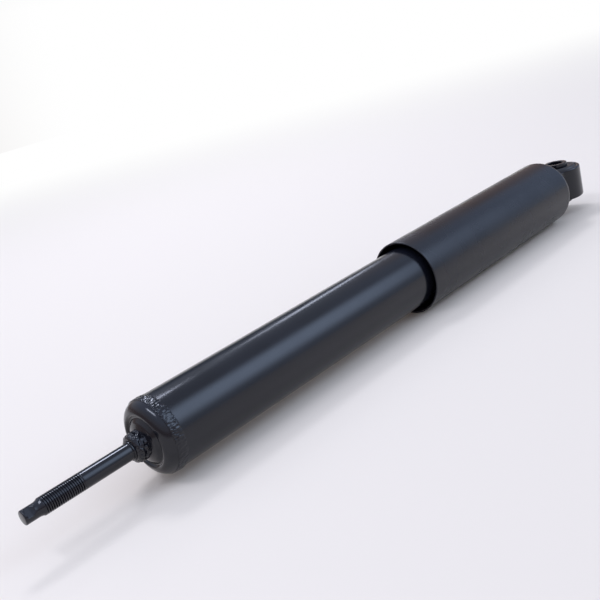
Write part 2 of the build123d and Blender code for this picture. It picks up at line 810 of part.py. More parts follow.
# Garter spring round the sealing lip, as the ring that its coils fill
with BuildPart() as seal_spring:
    with BuildSketch(Plane.XY):
        with Locations(((flange_x + seat_end_x) / 2, garter_seat_r + garter_wire / 2)):
            Circle(garter_wire / 2)
    revolve(axis=Axis.X)
seal_spring.part.label = "seal_spring"
export_step(seal_spring.part, "parts/seal_spring.step")

# Reserve tube, its top rolled in over the seal washer
lip_centre_x = tube_top_x - lip_radius
lip_centre_r = tube_r - lip_radius
lip_edge_r = tube_r - lip_reach
lip_inner_radius = lip_radius - tube_wall
slant = sqrt(0.5)
with BuildPart() as reserve_tube:
    with BuildSketch(Plane.XY):
        with BuildLine():
            Line((tube_base_x, tube_inner_r), (tube_base_x, tube_r))
            Line((tube_base_x, tube_r), (lip_centre_x, tube_r))
            ThreePointArc(
                (lip_centre_x, tube_r),
                (lip_centre_x + slant * lip_radius, lip_centre_r + slant * lip_radius),
                (tube_top_x, lip_centre_r),
            )
            Line((tube_top_x, lip_centre_r), (tube_top_x, lip_edge_r))
            Line((tube_top_x, lip_edge_r), (washer_top_x, lip_edge_r))
            Line((washer_top_x, lip_edge_r), (washer_top_x, lip_centre_r))
            ThreePointArc(
                (washer_top_x, lip_centre_r),
                (lip_centre_x + slant * lip_inner_radius, lip_centre_r + slant * lip_inner_radius),
                (lip_centre_x, tube_inner_r),
            )
            Line((lip_centre_x, tube_inner_r), (tube_base_x, tube_inner_r))
        make_face()
    revolve(axis=Axis.X)
reserve_tube.part.label = "reserve_tube"
export_step(reserve_tube.part, "parts/reserve_tube.step")

# Base cup: the pressed form, hollowed to its wall and pierced for the stem
with BuildPart() as base_cup:
    add(cup_outline())
    revolve(axis=Axis.X)
    with BuildSketch(Plane.XY):
        add(cup_outline())
        with Locations((tube_base_x, 0)):
            Rectangle(2 * cup_wall, tube_od, align=(Align.MIN, Align.CENTER))
        mirror(about=Plane.XZ)
        offset(amount=-cup_wall, kind=Kind.INTERSECTION)
        with Locations((tube_base_x, 0)):
            Rectangle(tube_od, tube_od, align=(Align.CENTER, Align.MAX), mode=Mode.SUBTRACT)
    revolve(axis=Axis.X, mode=Mode.SUBTRACT)
    with BuildSketch(Plane.YZ.offset(boss_x)):
        Circle(collar_r)
    extrude(amount=cup_boss_depth, mode=Mode.SUBTRACT)
base_cup.part.label = "base_cup"
export_step(base_cup.part, "parts/base_cup.step")

# Weld bead round the joint of cup and reserve tube
with BuildPart() as base_weld:
    with BuildSketch(Plane.XY):
        with Locations((tube_base_x, tube_r)):
            Ellipse(base_weld_width / 2, base_weld_height)
    revolve(axis=Axis.X)
    add(cup_outline())
    revolve(axis=Axis.X, mode=Mode.SUBTRACT)
    with BuildSketch(Plane.YZ.offset(tube_base_x)):
        Circle(tube_r)
    extrude(amount=base_weld_width, mode=Mode.SUBTRACT)
base_weld.part.label = "base_weld"
export_step(base_weld.part, "parts/base_weld.step")

# Mounting stem: spigot with two flats, thread, shank and the head inside the cup
head_x = boss_x + cup_wall
with BuildPart() as mounting_stem:
    add(
        turned(
            (stem_tip_x, 0),
            (stem_tip_x, stem_spigot_d / 2 - stem_spigot_chamfer),
            (stem_tip_x + stem_spigot_chamfer, stem_spigot_d / 2),
            (spigot_x, stem_spigot_d / 2),
            (thread_start_x, stem_r),
            (collar_x, stem_r),
            (collar_x, collar_r),
            (head_x, collar_r),
            (head_x, stem_head_d / 2),
            (head_x + stem_head_thickness, stem_head_d / 2),
            (head_x + stem_head_thickness, 0),
        )
    )
    revolve(axis=Axis.X)
    with BuildSketch(Plane.YZ.offset(stem_tip_x + stem_lip)):
        Circle(stem_r)
        Rectangle(stem_flats, 2 * stem_d, rotation=stem_flats_angle, mode=Mode.SUBTRACT)
    extrude(amount=stem_flats_length, mode=Mode.SUBTRACT)
mounting_stem.part.label = "mounting_stem"
export_step(mounting_stem.part, "parts/mounting_stem.step")

# Weld bead round the stem's root
with BuildPart() as stem_weld:
    with BuildSketch(Plane.XY):
        with BuildLine():
            Line((stem_weld_x, collar_r), (stem_weld_x, collar_r + stem_weld_face))
            SagittaArc(
                (stem_weld_x, collar_r + stem_weld_face),
                (stem_weld_x + stem_weld_r - collar_r, stem_weld_r),
                stem_weld_bulge,
            )
            Line((stem_weld_x + stem_weld_r - collar_r, stem_weld_r), (tube_base_x, stem_weld_r))
            Line((tube_base_x, stem_weld_r), (tube_base_x, collar_r))
            Line((tube_base_x, collar_r), (stem_weld_x, collar_r))
        make_face()
    revolve(axis=Axis.X)
    add(cup_outline())
    revolve(axis=Axis.X, mode=Mode.SUBTRACT)
stem_weld.part.label = "stem_weld"
export_step(stem_weld.part, "parts/stem_weld.step")

print("extended, stem weld to eye centre:", round(-stem_weld_x, 2))
print("cover mouth:", round(mouth_x, 2))
print("cylinder top and base:", round(tube_top_x, 2), round(tube_base_x, 2))
print("thread end and start:", round(thread_end_x, 2), round(thread_start_x, 2))
print("stem tip:", round(stem_tip_x, 2))
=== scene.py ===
# %% [markdown]
# Dressing a telescopic shock absorber
#
# The object is a twin-tube damper that was welded together and then sprayed black all over: the
# cylinder with its threaded stem, the dust cover that slides over it, and the eye with its rubber
# bush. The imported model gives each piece's place and size. This lesson models what a plain solid
# can't show, such as the thread, the welds and the small rounded edges, and gives each piece the
# finish that the real one has.

# %% Load the frame
import bpy
import math
from mathutils import Matrix, Vector, noise


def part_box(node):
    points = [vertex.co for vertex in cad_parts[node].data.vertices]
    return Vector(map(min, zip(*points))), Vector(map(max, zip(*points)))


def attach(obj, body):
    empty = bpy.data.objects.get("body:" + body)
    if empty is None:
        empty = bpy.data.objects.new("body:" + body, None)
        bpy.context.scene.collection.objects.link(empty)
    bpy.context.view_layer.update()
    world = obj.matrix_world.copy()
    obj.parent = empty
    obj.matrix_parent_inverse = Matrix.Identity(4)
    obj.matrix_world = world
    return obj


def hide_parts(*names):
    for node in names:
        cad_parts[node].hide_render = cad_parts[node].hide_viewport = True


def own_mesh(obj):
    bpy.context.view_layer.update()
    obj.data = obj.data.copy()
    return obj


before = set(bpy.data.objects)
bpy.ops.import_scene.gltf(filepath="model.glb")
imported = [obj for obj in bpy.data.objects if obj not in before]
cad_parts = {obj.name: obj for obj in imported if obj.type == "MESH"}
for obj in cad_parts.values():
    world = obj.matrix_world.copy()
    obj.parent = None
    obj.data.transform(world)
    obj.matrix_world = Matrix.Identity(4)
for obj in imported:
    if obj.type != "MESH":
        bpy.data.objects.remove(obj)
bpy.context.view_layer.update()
MM = 0.001

# %% [markdown]
# The camera
#
# The photograph was taken from beyond the stem, a little above it, with a lens of about 48 mm on a
# full-size sensor. The camera could be aimed with a Track To constraint, but the photographer held
# it a little tilted, so its three directions are given instead and put side by side in a matrix.

# %% Place the camera
CAMERA_PLACE = Vector((-0.7967, -0.4403, 0.2176))
CAMERA_FORWARD = Vector((0.6269, 0.7181, -0.3022))
CAMERA_UP = Vector((0.3888, 0.0478, 0.9201))
LENS_MM = 47.64
SENSOR_MM = 36
NEAREST = 0.01

camera_data = bpy.data.cameras.new("camera")
camera_data.lens = LENS_MM
camera_data.sensor_width = SENSOR_MM
camera_data.clip_start = NEAREST
camera = bpy.data.objects.new("camera", camera_data)
bpy.context.scene.collection.objects.link(camera)
camera_right = CAMERA_FORWARD.cross(CAMERA_UP).normalized()
camera_up = camera_right.cross(CAMERA_FORWARD).normalized()
turn_matrix = Matrix((camera_right, camera_up, -CAMERA_FORWARD.normalized())).transposed()
camera.matrix_world = Matrix.Translation(CAMERA_PLACE) @ turn_matrix.to_4x4()
bpy.context.scene.camera = camera
bpy.context.scene.view_settings.view_transform = "Standard"
print("camera is", round(CAMERA_PLACE.length, 3), "m from the eye")

# %% [markdown]
# Colours and nodes
#
# Paint charts and hex codes are in sRGB, while a shader works with linear light, so one function
# turns the one into the other. Another adds a node with its settings and its links, which keeps
# each material short enough to read.

# %% Helpers for materials
def linear(code, strength=1.0):
    """A hex colour as linear red, green, blue and alpha."""
    channels = [int(code[i:i + 2], 16) / 255 for i in (1, 3, 5)]
    curve = [c / 12.92 if c <= 0.04045 else ((c + 0.055) / 1.055) ** 2.4 for c in channels]
    return [c * strength for c in curve] + [1.0]


def add_node(tree, kind, settings=None, **inputs):
    """Adds a node. An input is a value or another node's output, named, or numbered as in i6."""
    node = tree.nodes.new(kind)
    for key, value in (settings or {}).items():
        setattr(node, key, value)
    for key, value in inputs.items():
        is_number = key[1:].isdigit()
        socket = node.inputs[int(key[1:]) if is_number else key.replace("_", " ")]
        if isinstance(value, bpy.types.NodeSocket):
            tree.links.new(value, socket)
        else:
            socket.default_value = value
    return node


def start_material(name):
    """A new material: its node tree, its shader and the place on the object as coordinates."""
    material = bpy.data.materials.new(name)
    material.use_nodes = True
    tree = material.node_tree
    shader = tree.nodes["Principled BSDF"]
    place = tree.nodes.new("ShaderNodeTexCoord").outputs["Object"]
    return material, tree, shader, place


def per_mm(size_mm):
    """Texture scale for a pattern that repeats every size_mm."""
    return 1 / (size_mm * MM)


print("helpers ready, mid grey is", round(linear("#808080")[0], 3))

# %% [markdown]
# The black paint
#
# The paint is a black air-drying enamel, sprayed over bare steel and welds alike. Wet enamel levels
# to a gloss but keeps a faint orange peel, some millimetres from crest to crest, and dust that fell
# into it leaves small nibs. The peel and the nibs are a bump, because they are a few hundredths of
# a millimetre high, and the gloss varies a little where the spray was drier.

# %% Mix the enamel
SPRAY_CLOUD_MM = 38
CLOUD_LOW, CLOUD_HIGH = 0.3, 0.7
WET_GLOSS, DRY_GLOSS = 0.8, 1.25
NIB_SHARE = 0.06
NIB_HEIGHT = 0.05
ENAMEL_IOR = 1.45


def black_enamel(name, roughness, peel_mm=3.5, peel_height=0.010, nib_mm=7.0):
    """Sprayed black enamel, with an orange peel, dust nibs and an uneven gloss."""
    material, tree, shader, place = start_material(name)
    cloud = add_node(tree, "ShaderNodeTexNoise", Vector=place, Scale=per_mm(SPRAY_CLOUD_MM),
                     Detail=3.0)
    tone = add_node(tree, "ShaderNodeMix", {"data_type": "RGBA"}, Factor=cloud.outputs["Fac"],
                    i6=linear("#0D0E14"), i7=linear("#14151D"))
    gloss = add_node(tree, "ShaderNodeMapRange", Value=cloud.outputs["Fac"],
                     From_Min=CLOUD_LOW, From_Max=CLOUD_HIGH,
                     To_Min=roughness * WET_GLOSS, To_Max=roughness * DRY_GLOSS)
    peel = add_node(tree, "ShaderNodeTexNoise", Vector=place, Scale=per_mm(peel_mm), Detail=1.0)
    first = add_node(tree, "ShaderNodeBump", Strength=1.0, Distance=peel_height * MM,
                     Height=peel.outputs["Fac"])
    cells = add_node(tree, "ShaderNodeTexVoronoi", Vector=place, Scale=per_mm(nib_mm))
    nib = add_node(tree, "ShaderNodeMapRange", Value=cells.outputs["Distance"],
                   From_Min=0.0, From_Max=NIB_SHARE, To_Min=1.0, To_Max=0.0)
    second = add_node(tree, "ShaderNodeBump", Strength=1.0, Distance=NIB_HEIGHT * MM,
                      Height=nib.outputs["Result"], Normal=first.outputs["Normal"])
    tree.links.new(tone.outputs[2], shader.inputs["Base Color"])
    tree.links.new(gloss.outputs["Result"], shader.inputs["Roughness"])
    tree.links.new(second.outputs["Normal"], shader.inputs["Normal"])
    shader.inputs["IOR"].default_value = ENAMEL_IOR
    return material


tube_enamel = black_enamel("black_enamel_on_tube", roughness=0.19)
pressed_enamel = black_enamel("black_enamel_on_pressing", roughness=0.16, peel_mm=2.6)
weld_enamel = black_enamel("black_enamel_on_weld", roughness=0.07, peel_mm=1.4,
                           peel_height=0.006, nib_mm=3.0)
thread_enamel = black_enamel("black_enamel_on_thread", roughness=0.12, peel_mm=1.2,
                             peel_height=0.006)
cover_enamel = black_enamel("black_enamel_on_cover", roughness=0.26, peel_mm=3.0)
enamels = (tube_enamel, pressed_enamel, weld_enamel, thread_enamel, cover_enamel)
print("enamels:", ", ".join(enamel.name for enamel in enamels))

# %% [markdown]
# Rubber
#
# The bush is moulded natural rubber. It caught the spray too, and flexing rubber breaks the gloss,
# so it is duller than the steel round it. The seals and the buffer inside are nitrile rubber and
# bare: a dark grey with a fine matt grain from the mould.

# %% Mould two kinds of rubber
RUBBER_IOR = 1.52
RUBBER_SPREAD = 0.15
GRAIN_HEIGHT = 0.03


def moulded(name, low, high, roughness, grain_mm):
    """Moulded rubber or plastic, between two tones, with a matt grain."""
    material, tree, shader, place = start_material(name)
    grain = add_node(tree, "ShaderNodeTexNoise", Vector=place, Scale=per_mm(grain_mm), Detail=4.0)
    tone = add_node(tree, "ShaderNodeMix", {"data_type": "RGBA"}, Factor=grain.outputs["Fac"],
                    i6=linear(low), i7=linear(high))
    dull = add_node(tree, "ShaderNodeMapRange", Value=grain.outputs["Fac"],
                    To_Min=roughness * (1 - RUBBER_SPREAD), To_Max=roughness * (1 + RUBBER_SPREAD))
    bump = add_node(tree, "ShaderNodeBump", Strength=0.6, Distance=GRAIN_HEIGHT * MM,
                    Height=grain.outputs["Fac"])
    tree.links.new(tone.outputs[2], shader.inputs["Base Color"])
    tree.links.new(dull.outputs["Result"], shader.inputs["Roughness"])
    tree.links.new(bump.outputs["Normal"], shader.inputs["Normal"])
    shader.inputs["IOR"].default_value = RUBBER_IOR
    return material


painted_rubber = moulded("natural_rubber_oversprayed", "#141417", "#1D1D20",
                         roughness=0.42, grain_mm=0.9)
nitrile_rubber = moulded("nitrile_rubber", "#161617", "#242425", roughness=0.62, grain_mm=0.5)
print("rubbers:", painted_rubber.name, nitrile_rubber.name)

# %% [markdown]
# Bare metals inside
#
# Nothing inside is painted. The rod is hard chrome, ground round and round; tubes are drawn and
# keep fine lines along their length; the guide, the piston and the base valve are sintered iron
# with open pores; the discs are cold-rolled spring steel; nuts are zinc-plated; the guide's bush is
# sintered bronze. The lines are really a few hundredths of a millimetre apart, and are drawn about
# ten times coarser to show at all.

# %% Draw, roll, sinter and plate the metals
METAL_SPREAD = 0.3


def metal(name, low, high, roughness, grain_mm, stretch, height_mm):
    """A bare metal. Stretch above 1 draws its grain out along X, and under 1 winds it round X."""
    material, tree, shader, place = start_material(name)
    drawn = add_node(tree, "ShaderNodeMapping", Vector=place, Scale=(1 / stretch, 1, 1))
    grain = add_node(tree, "ShaderNodeTexNoise", Vector=drawn.outputs["Vector"],
                     Scale=per_mm(grain_mm), Detail=5.0, Roughness=0.6)
    tone = add_node(tree, "ShaderNodeMix", {"data_type": "RGBA"}, Factor=grain.outputs["Fac"],
                    i6=linear(low), i7=linear(high))
    dull = add_node(tree, "ShaderNodeMapRange", Value=grain.outputs["Fac"],
                    To_Min=roughness * (1 - METAL_SPREAD), To_Max=roughness * (1 + METAL_SPREAD))
    bump = add_node(tree, "ShaderNodeBump", Strength=0.5, Distance=height_mm * MM,
                    Height=grain.outputs["Fac"])
    tree.links.new(tone.outputs[2], shader.inputs["Base Color"])
    tree.links.new(dull.outputs["Result"], shader.inputs["Roughness"])
    tree.links.new(bump.outputs["Normal"], shader.inputs["Normal"])
    shader.inputs["Metallic"].default_value = 1.0
    return material


hard_chrome = metal("ground_hard_chrome", "#B9BDC4", "#D3D6DB",
                    roughness=0.10, grain_mm=2.0, stretch=0.15, height_mm=0.002)
drawn_steel = metal("drawn_steel_tube", "#7C7E82", "#A2A3A6",
                    roughness=0.34, grain_mm=0.8, stretch=12, height_mm=0.010)
sintered_iron = metal("sintered_iron", "#3E3E41", "#6A6A6C",
                      roughness=0.58, grain_mm=0.25, stretch=1, height_mm=0.030)
spring_steel = metal("cold_rolled_spring_steel", "#5F656F", "#8A9099",
                     roughness=0.26, grain_mm=0.6, stretch=1, height_mm=0.004)
zinc_plate = metal("zinc_plate", "#9F9E97", "#C6C4BA",
                   roughness=0.30, grain_mm=1.6, stretch=1, height_mm=0.004)
sintered_bronze = metal("sintered_bronze", "#7A5B2E", "#A98550",
                        roughness=0.42, grain_mm=0.3, stretch=1, height_mm=0.015)
metals = (hard_chrome, drawn_steel, sintered_iron, spring_steel, zinc_plate, sintered_bronze)
print("metals:", ", ".join(bare.name for bare in metals))

# %% [markdown]
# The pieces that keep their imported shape
#
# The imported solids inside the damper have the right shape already, so they only need their finish.
# The piston's band is PTFE filled with bronze powder, a waxy brown plastic with a fine grain, and
# is moulded as the rubber is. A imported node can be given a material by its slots, or its mesh
# can, which keeps the two together.

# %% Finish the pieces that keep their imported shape
filled_ptfe = moulded("bronze_filled_ptfe", "#4A382B", "#6B5441", roughness=0.50, grain_mm=0.4)
KEPT_FINISH = {
    hard_chrome: ["piston_rod"],
    drawn_steel: ["pressure_tube", "end_plate", "rod_weld", "seal_washer", "rebound_stop",
                  "check_retainer", "rebound_washer", "compression_washer"],
    sintered_iron: ["rod_guide", "piston", "base_valve_body"],
    spring_steel: ["check_plate", "intake_plate", "rebound_discs", "compression_discs",
                   "seal_spring"],
    zinc_plate: ["piston_nut", "base_valve_nut", "base_valve_bolt"],
    nitrile_rubber: ["rod_seal", "guide_o_ring", "rebound_buffer"],
    filled_ptfe: ["piston_band"],
    sintered_bronze: ["guide_bush"],
}
for material, names in KEPT_FINISH.items():
    for name in names:
        node_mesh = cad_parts[name].data
        node_mesh.materials.clear()
        node_mesh.materials.append(material)
print("finished as packed:", sum(len(names) for names in KEPT_FINISH.values()))

# %% [markdown]
# Selecting and finishing
#
# An operator acts on all that is selected, so each step starts with nothing selected. A finished
# piece has its place in its mesh, no doubled vertices, faces that point outwards, and smooth
# shading that stops at its sharp edges.

# %% Select and finish a piece
DOUBLED = 0.002
SHARP_FROM = 32


def clear_selection():
    """Leaves edit mode and selects nothing."""
    if bpy.context.object and bpy.context.object.mode != "OBJECT":
        bpy.ops.object.mode_set(mode="OBJECT")
    bpy.ops.object.select_all(action="DESELECT")


def select_only(piece):
    """Selects one piece and makes it the active one."""
    clear_selection()
    piece.select_set(True)
    bpy.context.view_layer.objects.active = piece


def smooth_by_angle():
    """Smooths the selected piece, and keeps each edge sharp that bends more than SHARP_FROM."""
    bpy.ops.object.shade_smooth_by_angle(angle=math.radians(SHARP_FROM))


def finish_mesh(piece):
    """Applies the piece's place, merges doubles, turns faces outwards and smooths them."""
    bpy.ops.object.mode_set(mode="EDIT")
    bpy.ops.mesh.select_all(action="SELECT")
    bpy.ops.mesh.remove_doubles(threshold=DOUBLED * MM)
    bpy.ops.mesh.normals_make_consistent(inside=False)
    bpy.ops.object.mode_set(mode="OBJECT")
    bpy.ops.object.transform_apply(location=True, rotation=True, scale=True)
    smooth_by_angle()
    return piece


print("edges stay sharp from", SHARP_FROM, "degrees")

# %% [markdown]
# Turning a piece
#
# Tubes, cups and stems are round, so they are modelled as on a lathe. The Spin tool could sweep a
# drawn profile, but a ring that is extruded along the axis and resized from one point of the
# profile to the next gives the same mesh, with its seam closed from the start. A profile that ends
# where it began is a wall with an inside and an outside. Where a long straight run meets a rounded
# edge, a holding ring close to the edge keeps the edge's shading from spreading along the run,
# which gloss paint would show at once.

# %% The lathe
AXES = {"X": Vector((1, 0, 0)), "Z": Vector((0, 0, 1))}
LONG_RUN = 3.0
HOLD = 0.4


def add_holding_rings(profile):
    """Adds a point near both ends of each long run, so that its smooth shading stays straight."""
    result = [profile[0]]
    for here, there in zip(profile, profile[1:]):
        run = math.dist(here, there)
        if run > LONG_RUN:
            for share in (HOLD / run, 1 - HOLD / run):
                result.append(tuple(a + (b - a) * share for a, b in zip(here, there)))
        result.append(there)
    return result


def lathe(name, profile, sides=144, axis="X"):
    """Turns a profile of (place along the axis, radius) points, in millimetres."""
    clear_selection()
    along = AXES[axis]
    is_wall = profile[0] == profile[-1]
    profile = add_holding_rings(profile)
    place, radius = profile[0]
    bpy.ops.mesh.primitive_circle_add(
        vertices=sides, radius=radius * MM, fill_type="NOTHING" if is_wall else "NGON",
        location=along * place * MM, rotation=(0, math.pi / 2 if axis == "X" else 0, 0))
    piece = bpy.context.object
    piece.name = name
    bpy.ops.object.transform_apply(location=True, rotation=True, scale=True)
    bpy.ops.object.mode_set(mode="EDIT")
    bpy.ops.mesh.select_all(action="SELECT")
    for next_place, next_radius in profile[1:]:
        step = along * (next_place - place) * MM
        grow = next_radius / radius
        bpy.ops.mesh.extrude_region_move(TRANSFORM_OT_translate={"value": step})
        bpy.ops.transform.resize(
            value=(1, grow, grow) if axis == "X" else (grow, grow, 1),
            center_override=along * next_place * MM)
        place, radius = next_place, next_radius
    return finish_mesh(piece)


print("the lathe turns about", " and ".join(AXES))

# %% [markdown]
# Drawing a profile
#
# Turned and pressed edges are never quite sharp, so a profile is straight runs joined by arcs. A
# Bevel modifier would round the finished mesh instead, but all its edges alike, where here each
# corner has its own radius.

# %% Draw profiles
def arc(place, height, radius, start, end, steps=6):
    """Profile points on an arc about (place, height), by the angle from the axis in degrees."""
    angles = [math.radians(start + (end - start) * i / steps) for i in range(steps + 1)]
    return [(place + radius * math.cos(a), height + radius * math.sin(a)) for a in angles]


def rounded(points, radii, steps=6):
    """The profile through the points, with a tangent arc of its radius at each inner corner."""
    result = [points[0]]
    for before, corner, after, radius in zip(points, points[1:], points[2:], radii):
        corner_v = Vector(corner)
        back = (Vector(before) - corner_v).normalized()
        ahead = (Vector(after) - corner_v).normalized()
        half = back.angle(ahead) / 2
        reach = radius / math.tan(half)
        centre = corner_v + (back + ahead).normalized() * radius / math.sin(half)
        first = corner_v + back * reach - centre
        last = corner_v + ahead * reach - centre
        swing = first.angle_signed(last)
        for i in range(steps + 1):
            turned = swing * i / steps
            spot = centre + Matrix.Rotation(-turned, 2) @ first
            result.append((spot.x, spot.y))
    return result + [points[-1]]


def both_halves(half):
    """A profile that goes on as its own mirror image and closes."""
    mirrored = [(-place, radius) for place, radius in half[::-1]]
    return half + mirrored[1:-1] + [half[0]]


print("an arc has", len(arc(0, 0, 1, 90, 0)), "points")

# %% [markdown]
# Where a piece belongs
#
# Each new piece takes its size from the imported nodes, rides on the body that its node rides on, and
# hides the node it stands for, so that it moves with the model and nothing shows twice.

# %% Measure nodes and dress pieces
def span(node):
    """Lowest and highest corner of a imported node, in millimetres."""
    low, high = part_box(node)
    return low / MM, high / MM


def dress(piece, material, body, slot, *nodes):
    """Gives a new piece its material and the body it rides on, and hides the nodes it stands for."""
    piece.data.materials.clear()
    piece.data.materials.append(material)
    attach(piece, body)
    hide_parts(*nodes)
    print(piece.name, "faces:", len(piece.data.polygons))
    return piece


# %% [markdown]
# The reserve tube
#
# The cylinder that shows is the reserve tube, cut from welded and drawn tube. Its lower end is
# hidden by the weld, and its upper end is rolled in over the seal's washer once everything is
# inside.

# %% Turn the reserve tube
LARGE_SIDES = 192
TUBE_WALL = 1.8
LIP_RADIUS = 3.2
LIP_BORE = 45.0

tube_low, tube_high = span("reserve_tube")
tube_r = tube_high.z
lip_x = tube_high.x - LIP_RADIUS
tube_profile = [(tube_low.x, tube_r - TUBE_WALL), (tube_low.x, tube_r)]
tube_profile += arc(lip_x, tube_r - LIP_RADIUS, LIP_RADIUS, 90, 0)
tube_profile += [(tube_high.x, LIP_BORE / 2), (tube_high.x - TUBE_WALL, LIP_BORE / 2)]
tube_profile += arc(lip_x, tube_r - LIP_RADIUS, LIP_RADIUS - TUBE_WALL, 0, 90)
tube_profile += [tube_profile[0]]
tube = lathe("tube", tube_profile, sides=LARGE_SIDES)
dress(tube, tube_enamel, "cylinder", "paint", "reserve_tube")

# %% [markdown]
# The base cup
#
# The cup is pressed from sheet. A ring groove stiffens it, and the raised boss inside the groove
# carries the stem. All its edges are bends in sheet metal, so each corner of the profile is an arc.
# Inside, the groove stands up as the ridge that the base valve's foot rests on. Each corner is
# given by its distance from the cup's rim and its diameter.

# %% Turn the base cup
CUP_WALL = 2.0
CUP_SIDE_CORNER = 7.5
CUP_CORNERS = [(11.1, 38.6), (9.0, 36.2), (9.0, 34.4), (11.2, 28.6), (13.4, 18.0)]
CUP_RADII = [8.6, 1.9, 0.9, 0.9, 4.0, 5.0]
CUP_INSIDE = [(8.6, 26.0), (3.8, 30.4), (3.8, 40.0), (7.6, 43.0), (6.5, 48.0)]
BOSS_BORE_R = 7.0

cup_low, cup_high = span("base_cup")
cup_points = [(cup_high.x, tube_r), (cup_high.x - CUP_SIDE_CORNER, tube_r)]
cup_points += [(cup_high.x - depth, width / 2) for depth, width in CUP_CORNERS]
cup_points += [(cup_low.x, BOSS_BORE_R)]
cup_profile = rounded(cup_points, CUP_RADII)
cup_profile += [(cup_low.x + CUP_WALL, BOSS_BORE_R)]
cup_profile += [(cup_high.x - depth, width / 2) for depth, width in CUP_INSIDE]
cup_profile += [(cup_high.x, tube_r - CUP_WALL), cup_profile[0]]
cup = lathe("cup", cup_profile, sides=LARGE_SIDES)
dress(cup, pressed_enamel, "cylinder", "paint", "base_cup")

# %% [markdown]
# Weld beads
#
# The joints are run by a welding robot while the damper turns, so a bead is a row of overlapping
# crescents, about 2 mm apart, with spatter stuck to it. Paint fills the finest hollows, and the
# crests catch the light. A Displace modifier with a cloud texture gives lumps but no rhythm, so the
# vertices are moved by a small function that adds both.

# %% Ripple a bead
WANDER = 0.35
WANDER_MM = 4
CREST = 1.5
FINER = 2.7
FORWARD = 0.5


def ripple(piece, pitch, height, lump_mm, lump_height, rough):
    """Moves the bead's vertices out from the X axis: crescents round it, and lumps anywhere."""
    for vertex in piece.data.vertices:
        spot = vertex.co.copy()
        radius = math.hypot(spot.y, spot.z)
        path = math.atan2(spot.z, spot.y) * radius / MM
        bend = WANDER * noise.noise(spot / (WANDER_MM * MM))
        crescent = 1 - abs(math.sin(math.pi * (path / pitch + bend)))
        coarse = noise.noise(spot / (lump_mm * MM))
        lump = coarse + rough * noise.noise(spot / (lump_mm * MM) * FINER)
        reach = (height * crescent ** CREST + lump_height * lump) * MM
        forward = FORWARD * (lump > 0) * reach
        vertex.co += Vector((forward, spot.y / radius * reach, spot.z / radius * reach))
    piece.data.update()
    return piece


print("a bead's crescents wander by up to", WANDER, "of their pitch")

# %% [markdown]
# The bead between cup and tube
#
# It stands less than a millimetre over the tube. Its inner side is sunk in the metal that it
# melted, so the ring needs no care there.

# %% Lay the base bead
BEAD_SINK = 0.9
BEAD_TOE = 0.15
BEAD_RISE = 0.55
BEAD_STEP = 12

bead_low, bead_high = span("base_weld")
bead_x = (bead_low.x + bead_high.x) / 2
bead_half = (bead_high.x - bead_low.x) / 2
bead_crown = [(bead_x + bead_half * math.cos(math.radians(a)),
               tube_r - BEAD_TOE + BEAD_RISE * math.sin(math.radians(a)))
              for a in range(0, 180 + 1, BEAD_STEP)]
bead_profile = bead_crown + [(bead_low.x, tube_r - BEAD_SINK), (bead_high.x, tube_r - BEAD_SINK),
                             bead_crown[0]]
base_bead = lathe("base_bead", bead_profile, sides=640)
ripple(base_bead, pitch=2.1, height=0.10, lump_mm=1.7, lump_height=0.36, rough=0.7)
dress(base_bead, weld_enamel, "cylinder", "paint", "base_weld")

# %% [markdown]
# The threaded stem
#
# The stem is one turned bar: a plain shank, an M12 x 1.5 thread, and a spigot with two milled flats
# that hold it while the nut is tightened. A Screw modifier could sweep the thread, but it would
# have to be joined to the bar. So the bar is turned first, with twelve rings for each turn of the
# thread, and cut afterwards.

# %% Turn the bar
STEM_SIDES = 72
STEM_R = 6.0
THREAD_PITCH = 1.5
THREAD_LENGTH = 28.05
RINGS_PER_TURN = 12
SPIGOT_R = 4.9
SPIGOT_LENGTH = 9.6
SPIGOT_EDGE = 0.8
TIP_LIP = 1.6
FLAT_RINGS = 14
FLAT_RING_STEP = 0.5
LEAD = 3.3
LEAD_CORNERS = [(1.6, 0.75), (0.6, 0.15)]
THREAD_RUN_OFF = 0.8
COLLAR_R = 7.0
COLLAR_FRONT = 0.8
COLLAR_EDGE = 0.3
COLLAR_ROOT = 0.2
HEAD_EDGE = 0.5

stem_low, stem_high = span("mounting_stem")
weld_low, weld_high = span("stem_weld")
tip_x = stem_low.x
thread_start = tip_x + SPIGOT_LENGTH + LEAD
thread_end = thread_start + THREAD_LENGTH
collar_x = weld_low.x - COLLAR_FRONT
head_x, head_r = cup_low.x + CUP_WALL, stem_high.z
ring_count = round(THREAD_LENGTH / THREAD_PITCH * RINGS_PER_TURN)

stem_profile = arc(tip_x + SPIGOT_EDGE, SPIGOT_R - SPIGOT_EDGE, SPIGOT_EDGE, 180, 90, steps=4)
stem_profile += [(tip_x + TIP_LIP + i * FLAT_RING_STEP, SPIGOT_R) for i in range(FLAT_RINGS)]
stem_profile += [(tip_x + SPIGOT_LENGTH, SPIGOT_R)]
stem_profile += [(thread_start - before, STEM_R - under) for before, under in LEAD_CORNERS]
stem_profile += [(thread_start + THREAD_LENGTH * i / ring_count, STEM_R)
                 for i in range(ring_count + 1)]
stem_profile += [(thread_end + THREAD_RUN_OFF, STEM_R), (collar_x - COLLAR_ROOT, STEM_R),
                 (collar_x, STEM_R + COLLAR_ROOT)]
stem_profile += arc(collar_x + COLLAR_EDGE, COLLAR_R - COLLAR_EDGE, COLLAR_EDGE, 180, 90, steps=4)
stem_profile += [(head_x, COLLAR_R), (head_x, head_r), (stem_high.x - HEAD_EDGE, head_r),
                 (stem_high.x, head_r - HEAD_EDGE)]
stem = lathe("stem", stem_profile, sides=STEM_SIDES)
print("rings along the thread:", ring_count)

